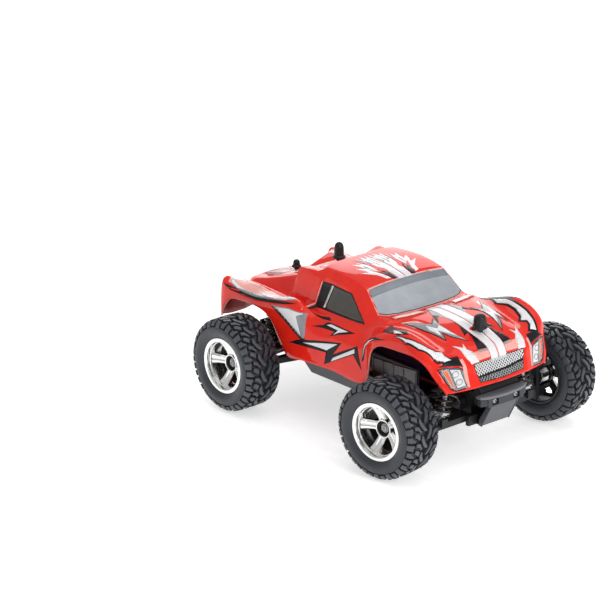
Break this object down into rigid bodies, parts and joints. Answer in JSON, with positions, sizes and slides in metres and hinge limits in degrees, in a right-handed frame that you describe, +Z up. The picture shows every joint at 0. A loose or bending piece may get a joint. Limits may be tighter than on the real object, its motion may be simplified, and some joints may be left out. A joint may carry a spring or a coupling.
{
  "type": "remote control car",
  "caption": "Small four-wheel-drive remote control short-course truck with a lift-off painted shell, sprung suspension, steering and a full drive train.",
  "frame": {"origin": "on the ground under the middle of the whole car", "axes": "+X forward, +Y to the left, +Z up"},
  "size_m": [0.1846, 0.1428, 0.0841],
  "materials": {
    "shell_paint": "glossy painted polycarbonate with white, black and grey graphics and dark window panels",
    "tyre": "soft black rubber, block tread",
    "rim": "bright plated plastic",
    "steel": "machined",
    "black_plastic": "satin moulded nylon",
    "grey_plastic": "satin moulded, fine grain",
    "spring_steel": "dark oiled wire",
    "white_nylon": "natural nylon",
    "board_green": "solder mask",
    "battery_wrap": "heat-shrunk wrap"
  },
  "bodies": {
    "chassis": {"chassis_tub": "grey_plastic", "front_bulkhead": "black_plastic", "rear_bulkhead": "black_plastic", "front_bumper": "grey_plastic", "motor": "steel", "battery": "battery_wrap", "circuit_board": "board_green", "steering_servo": "black_plastic"},
    "body": {"body_shell": "shell_paint", "front_post_cap": "black_plastic", "mid_post_cap": "black_plastic", "rear_post_cap": "black_plastic"},
    "battery_door": {"battery_door": "grey_plastic"},
    "power_switch": {"power_switch": "black_plastic"},
    "arm_front_left": {"lower_arm_front_left": "black_plastic"},
    "hub_carrier_left_body": {"hub_carrier_left": "black_plastic"},
    "wheel_front_left": {"tyre_front_left": "tyre", "rim_front_left": "rim", "stub_axle_front_left": "steel"},
    "knuckle_left_body": {"knuckle_left": "black_plastic"},
    "drive_shaft_front_left_body": {"drive_shaft_front_left": "steel"},
    "shock_body_front_left_body": {"shock_body_front_left": "black_plastic", "spring_front_left": "spring_steel"},
    "shock_rod_front_left_body": {"shock_rod_front_left": "steel"},
    "arm_front_right": {"lower_arm_front_right": "black_plastic"},
    "hub_carrier_right_body": {"hub_carrier_right": "black_plastic"},
    "wheel_front_right": {"tyre_front_right": "tyre", "rim_front_right": "rim", "stub_axle_front_right": "steel"},
    "knuckle_right_body": {"knuckle_right": "black_plastic"},
    "drive_shaft_front_right_body": {"drive_shaft_front_right": "steel"},
    "shock_body_front_right_body": {"shock_body_front_right": "black_plastic", "spring_front_right": "spring_steel"},
    "shock_rod_front_right_body": {"shock_rod_front_right": "steel"},
    "arm_rear_left": {"lower_arm_rear_left": "black_plastic"},
    "upright_left_body": {"upright_left": "black_plastic"},
    "wheel_rear_left": {"tyre_rear_left": "tyre", "rim_rear_left": "rim", "stub_axle_rear_left": "steel"},
    "drive_shaft_rear_left_body": {"drive_shaft_rear_left": "steel"},
    "shock_body_rear_left_body": {"shock_body_rear_left": "black_plastic", "spring_rear_left": "spring_steel"},
    "shock_rod_rear_left_body": {"shock_rod_rear_left": "steel"},
    "arm_rear_right": {"lower_arm_rear_right": "black_plastic"},
    "upright_right_body": {"upright_right": "black_plastic"},
    "wheel_rear_right": {"tyre_rear_right": "tyre", "rim_rear_right": "rim", "stub_axle_rear_right": "steel"},
    "drive_shaft_rear_right_body": {"drive_shaft_rear_right": "steel"},
    "shock_body_rear_right_body": {"shock_body_rear_right": "black_plastic", "spring_rear_right": "spring_steel"},
    "shock_rod_rear_right_body": {"shock_rod_rear_right": "steel"},
    "rack": {"steering_rack": "white_nylon"},
    "tie_rod_left_body": {"tie_rod_left": "black_plastic"},
    "tie_rod_right_body": {"tie_rod_right": "black_plastic"},
    "front_differential_body": {"front_differential": "steel"},
    "rear_differential_body": {"rear_differential": "steel"},
    "centre_shaft_body": {"centre_shaft": "steel"},
    "motor_pinion_body": {"motor_pinion": "steel"}
  },
  "joints": [
    {"name": "body_lift", "type": "slide", "parent": "chassis", "child": "body", "axis": [0, 0, 1], "range_m": [0, 0.06]},
    {"name": "battery_door_hinge", "type": "hinge", "parent": "chassis", "child": "battery_door", "pos_m": [0.002, 0.0204, 0.0187], "axis": [1, 0, 0], "range_deg": [0, 60]},
    {"name": "power_switch_slide", "type": "slide", "parent": "chassis", "child": "power_switch", "axis": [1, 0, 0], "range_m": [0, 0.003]},
    {"name": "suspension_front_left", "type": "hinge", "parent": "chassis", "child": "arm_front_left", "pos_m": [0.06515, 0.013, 0.0215], "axis": [1, 0, 0], "range_deg": [-6, 8], "stiffness_Nm_per_rad": 0.16, "springref_deg": -2.98},
    {"name": "hub_pivot_front_left", "type": "hinge", "parent": "arm_front_left", "child": "hub_carrier_left_body", "pos_m": [0.06515, 0.041, 0.0215], "axis": [1, 0, 0], "range_deg": [-8.5, 6.5]},
    {"name": "steer_left", "type": "hinge", "parent": "hub_carrier_left_body", "child": "knuckle_left_body", "pos_m": [0.06515, 0.0505, 0.0252], "axis": [0, 0, 1], "range_deg": [-31, 17]},
    {"name": "wheel_spin_front_left", "type": "hinge", "parent": "knuckle_left_body", "child": "wheel_front_left", "pos_m": [0.06515, 0.0505, 0.0252], "axis": [-0.1184, 0.993, 0], "continuous": true},
    {"name": "drive_shaft_spin_front_left", "type": "hinge", "parent": "arm_front_left", "child": "drive_shaft_front_left_body", "pos_m": [0.06515, 0.03, 0.0252], "axis": [0, 1, 0], "continuous": true},
    {"name": "shock_pivot_front_left", "type": "hinge", "parent": "chassis", "child": "shock_body_front_left_body", "pos_m": [0.07515, 0.023, 0.052], "axis": [1, 0, 0], "range_deg": [-0.72, 0.87]},
    {"name": "shock_slide_front_left", "type": "slide", "parent": "shock_body_front_left_body", "child": "shock_rod_front_left_body", "axis": [0, 0.2637, -0.9646], "range_m": [-0.00257, 0.00195], "deforming": ["spring_front_left"]},
    {"name": "suspension_front_right", "type": "hinge", "parent": "chassis", "child": "arm_front_right", "pos_m": [0.06515, -0.013, 0.0215], "axis": [-1, 0, 0], "range_deg": [-6, 8], "stiffness_Nm_per_rad": 0.16, "springref_deg": -2.98},
    {"name": "hub_pivot_front_right", "type": "hinge", "parent": "arm_front_right", "child": "hub_carrier_right_body", "pos_m": [0.06515, -0.041, 0.0215], "axis": [-1, 0, 0], "range_deg": [-8.5, 6.5]},
    {"name": "steer_right", "type": "hinge", "parent": "hub_carrier_right_body", "child": "knuckle_right_body", "pos_m": [0.06515, -0.0505, 0.0252], "axis": [0, 0, 1], "range_deg": [-31, 17]},
    {"name": "wheel_spin_front_right", "type": "hinge", "parent": "knuckle_right_body", "child": "wheel_front_right", "pos_m": [0.06515, -0.0505, 0.0252], "axis": [-0.1184, 0.993, 0], "continuous": true},
    {"name": "drive_shaft_spin_front_right", "type": "hinge", "parent": "arm_front_right", "child": "drive_shaft_front_right_body", "pos_m": [0.06515, -0.03, 0.0252], "axis": [0, 1, 0], "continuous": true},
    {"name": "shock_pivot_front_right", "type": "hinge", "parent": "chassis", "child": "shock_body_front_right_body", "pos_m": [0.07515, -0.023, 0.052], "axis": [-1, 0, 0], "range_deg": [-0.72, 0.87]},
    {"name": "shock_slide_front_right", "type": "slide", "parent": "shock_body_front_right_body", "child": "shock_rod_front_right_body", "axis": [0, -0.2637, -0.9646], "range_m": [-0.00257, 0.00195], "deforming": ["spring_front_right"]},
    {"name": "suspension_rear_left", "type": "hinge", "parent": "chassis", "child": "arm_rear_left", "pos_m": [-0.05285, 0.013, 0.0215], "axis": [1, 0, 0], "range_deg": [-6, 8], "stiffness_Nm_per_rad": 0.16, "springref_deg": -2.98},
    {"name": "hub_pivot_rear_left", "type": "hinge", "parent": "arm_rear_left", "child": "upright_left_body", "pos_m": [-0.05285, 0.041, 0.0215], "axis": [1, 0, 0], "range_deg": [-8.5, 6.5]},
    {"name": "wheel_spin_rear_left", "type": "hinge", "parent": "upright_left_body", "child": "wheel_rear_left", "pos_m": [-0.05285, 0.0564, 0.0252], "axis": [0, 1, 0], "continuous": true},
    {"name": "drive_shaft_spin_rear_left", "type": "hinge", "parent": "arm_rear_left", "child": "drive_shaft_rear_left_body", "pos_m": [-0.05285, 0.03, 0.0252], "axis": [0, 1, 0], "continuous": true},
    {"name": "shock_pivot_rear_left", "type": "hinge", "parent": "chassis", "child": "shock_body_rear_left_body", "pos_m": [-0.06285, 0.0175, 0.047], "axis": [1, 0, 0], "range_deg": [-1.53, 1.94]},
    {"name": "shock_slide_rear_left", "type": "slide", "parent": "shock_body_rear_left_body", "child": "shock_rod_rear_left_body", "axis": [0, 0.4657, -0.8849], "range_m": [-0.00231, 0.00176], "deforming": ["spring_rear_left"]},
    {"name": "suspension_rear_right", "type": "hinge", "parent": "chassis", "child": "arm_rear_right", "pos_m": [-0.05285, -0.013, 0.0215], "axis": [-1, 0, 0], "range_deg": [-6, 8], "stiffness_Nm_per_rad": 0.16, "springref_deg": -2.98},
    {"name": "hub_pivot_rear_right", "type": "hinge", "parent": "arm_rear_right", "child": "upright_right_body", "pos_m": [-0.05285, -0.041, 0.0215], "axis": [-1, 0, 0], "range_deg": [-8.5, 6.5]},
    {"name": "wheel_spin_rear_right", "type": "hinge", "parent": "upright_right_body", "child": "wheel_rear_right", "pos_m": [-0.05285, -0.0564, 0.0252], "axis": [0, 1, 0], "continuous": true},
    {"name": "drive_shaft_spin_rear_right", "type": "hinge", "parent": "arm_rear_right", "child": "drive_shaft_rear_right_body", "pos_m": [-0.05285, -0.03, 0.0252], "axis": [0, 1, 0], "continuous": true},
    {"name": "shock_pivot_rear_right", "type": "hinge", "parent": "chassis", "child": "shock_body_rear_right_body", "pos_m": [-0.06285, -0.0175, 0.047], "axis": [-1, 0, 0], "range_deg": [-1.53, 1.94]},
    {"name": "shock_slide_rear_right", "type": "slide", "parent": "shock_body_rear_right_body", "child": "shock_rod_rear_right_body", "axis": [0, -0.4657, -0.8849], "range_m": [-0.00231, 0.00176], "deforming": ["spring_rear_right"]},
    {"name": "rack_slide", "type": "slide", "parent": "chassis", "child": "rack", "axis": [0, 1, 0], "range_m": [-0.0028, 0.005]},
    {"name": "tie_rod_swing_left", "type": "hinge", "parent": "rack", "child": "tie_rod_left_body", "pos_m": [0.05615, 0.01253, 0.0289], "axis": [1, 0, 0], "range_deg": [-6, 7]},
    {"name": "tie_rod_swing_right", "type": "hinge", "parent": "rack", "child": "tie_rod_right_body", "pos_m": [0.05615, -0.01467, 0.0289], "axis": [-1, 0, 0], "range_deg": [-6, 7]},
    {"name": "front_differential_spin", "type": "hinge", "parent": "chassis", "child": "front_differential_body", "pos_m": [0.06515, 0, 0.0252], "axis": [0, 1, 0], "continuous": true},
    {"name": "rear_differential_spin", "type": "hinge", "parent": "chassis", "child": "rear_differential_body", "pos_m": [-0.05285, 0, 0.0252], "axis": [0, 1, 0], "continuous": true},
    {"name": "centre_shaft_spin", "type": "hinge", "parent": "chassis", "child": "centre_shaft_body", "pos_m": [0, 0, 0.0252], "axis": [1, 0, 0], "continuous": true},
    {"name": "motor_pinion_spin", "type": "hinge", "parent": "chassis", "child": "motor_pinion_body", "pos_m": [-0.04, -0.00672, 0.03192], "axis": [1, 0, 0], "continuous": true}
  ],
  "couplings": [
    {"joint": "hub_pivot_front_left", "follows": "suspension_front_left", "ratio": -1},
    {"joint": "wheel_spin_front_left", "follows": "wheel_spin_rear_right", "ratio": 1},
    {"joint": "drive_shaft_spin_front_left", "follows": "wheel_spin_rear_right", "ratio": 1},
    {"joint": "shock_pivot_front_left", "follows": "suspension_front_left", "ratio": 0.070672},
    {"joint": "shock_slide_front_left", "follows": "suspension_front_left", "m_per_rad": -0.017689},
    {"joint": "hub_pivot_front_right", "follows": "suspension_front_right", "ratio": -1},
    {"joint": "wheel_spin_front_right", "follows": "wheel_spin_rear_right", "ratio": 1},
    {"joint": "drive_shaft_spin_front_right", "follows": "wheel_spin_rear_right", "ratio": 1},
    {"joint": "shock_pivot_front_right", "follows": "suspension_front_right", "ratio": 0.070672},
    {"joint": "shock_slide_front_right", "follows": "suspension_front_right", "m_per_rad": -0.017689},
    {"joint": "hub_pivot_rear_left", "follows": "suspension_rear_left", "ratio": -1},
    {"joint": "wheel_spin_rear_left", "follows": "wheel_spin_rear_right", "ratio": 1},
    {"joint": "drive_shaft_spin_rear_left", "follows": "wheel_spin_rear_right", "ratio": 1},
    {"joint": "shock_pivot_rear_left", "follows": "suspension_rear_left", "ratio": 0.20553},
    {"joint": "shock_slide_rear_left", "follows": "suspension_rear_left", "m_per_rad": -0.015859},
    {"joint": "hub_pivot_rear_right", "follows": "suspension_rear_right", "ratio": -1},
    {"joint": "drive_shaft_spin_rear_right", "follows": "wheel_spin_rear_right", "ratio": 1},
    {"joint": "shock_pivot_rear_right", "follows": "suspension_rear_right", "ratio": 0.20553},
    {"joint": "shock_slide_rear_right", "follows": "suspension_rear_right", "m_per_rad": -0.015859},
    {"joint": "steer_left", "follows": "steer_right", "ratio": 1},
    {"joint": "rack_slide", "follows": "steer_right", "m_per_rad": -0.0087},
    {"joint": "tie_rod_swing_left", "follows": "suspension_front_left", "ratio": 0.76},
    {"joint": "tie_rod_swing_right", "follows": "suspension_front_right", "ratio": 0.76},
    {"joint": "front_differential_spin", "follows": "wheel_spin_rear_right", "ratio": 1},
    {"joint": "rear_differential_spin", "follows": "wheel_spin_rear_right", "ratio": 1},
    {"joint": "centre_shaft_spin", "follows": "wheel_spin_rear_right", "ratio": 2.5},
    {"joint": "motor_pinion_spin", "follows": "wheel_spin_rear_right", "ratio": -4.8077}
  ]
}
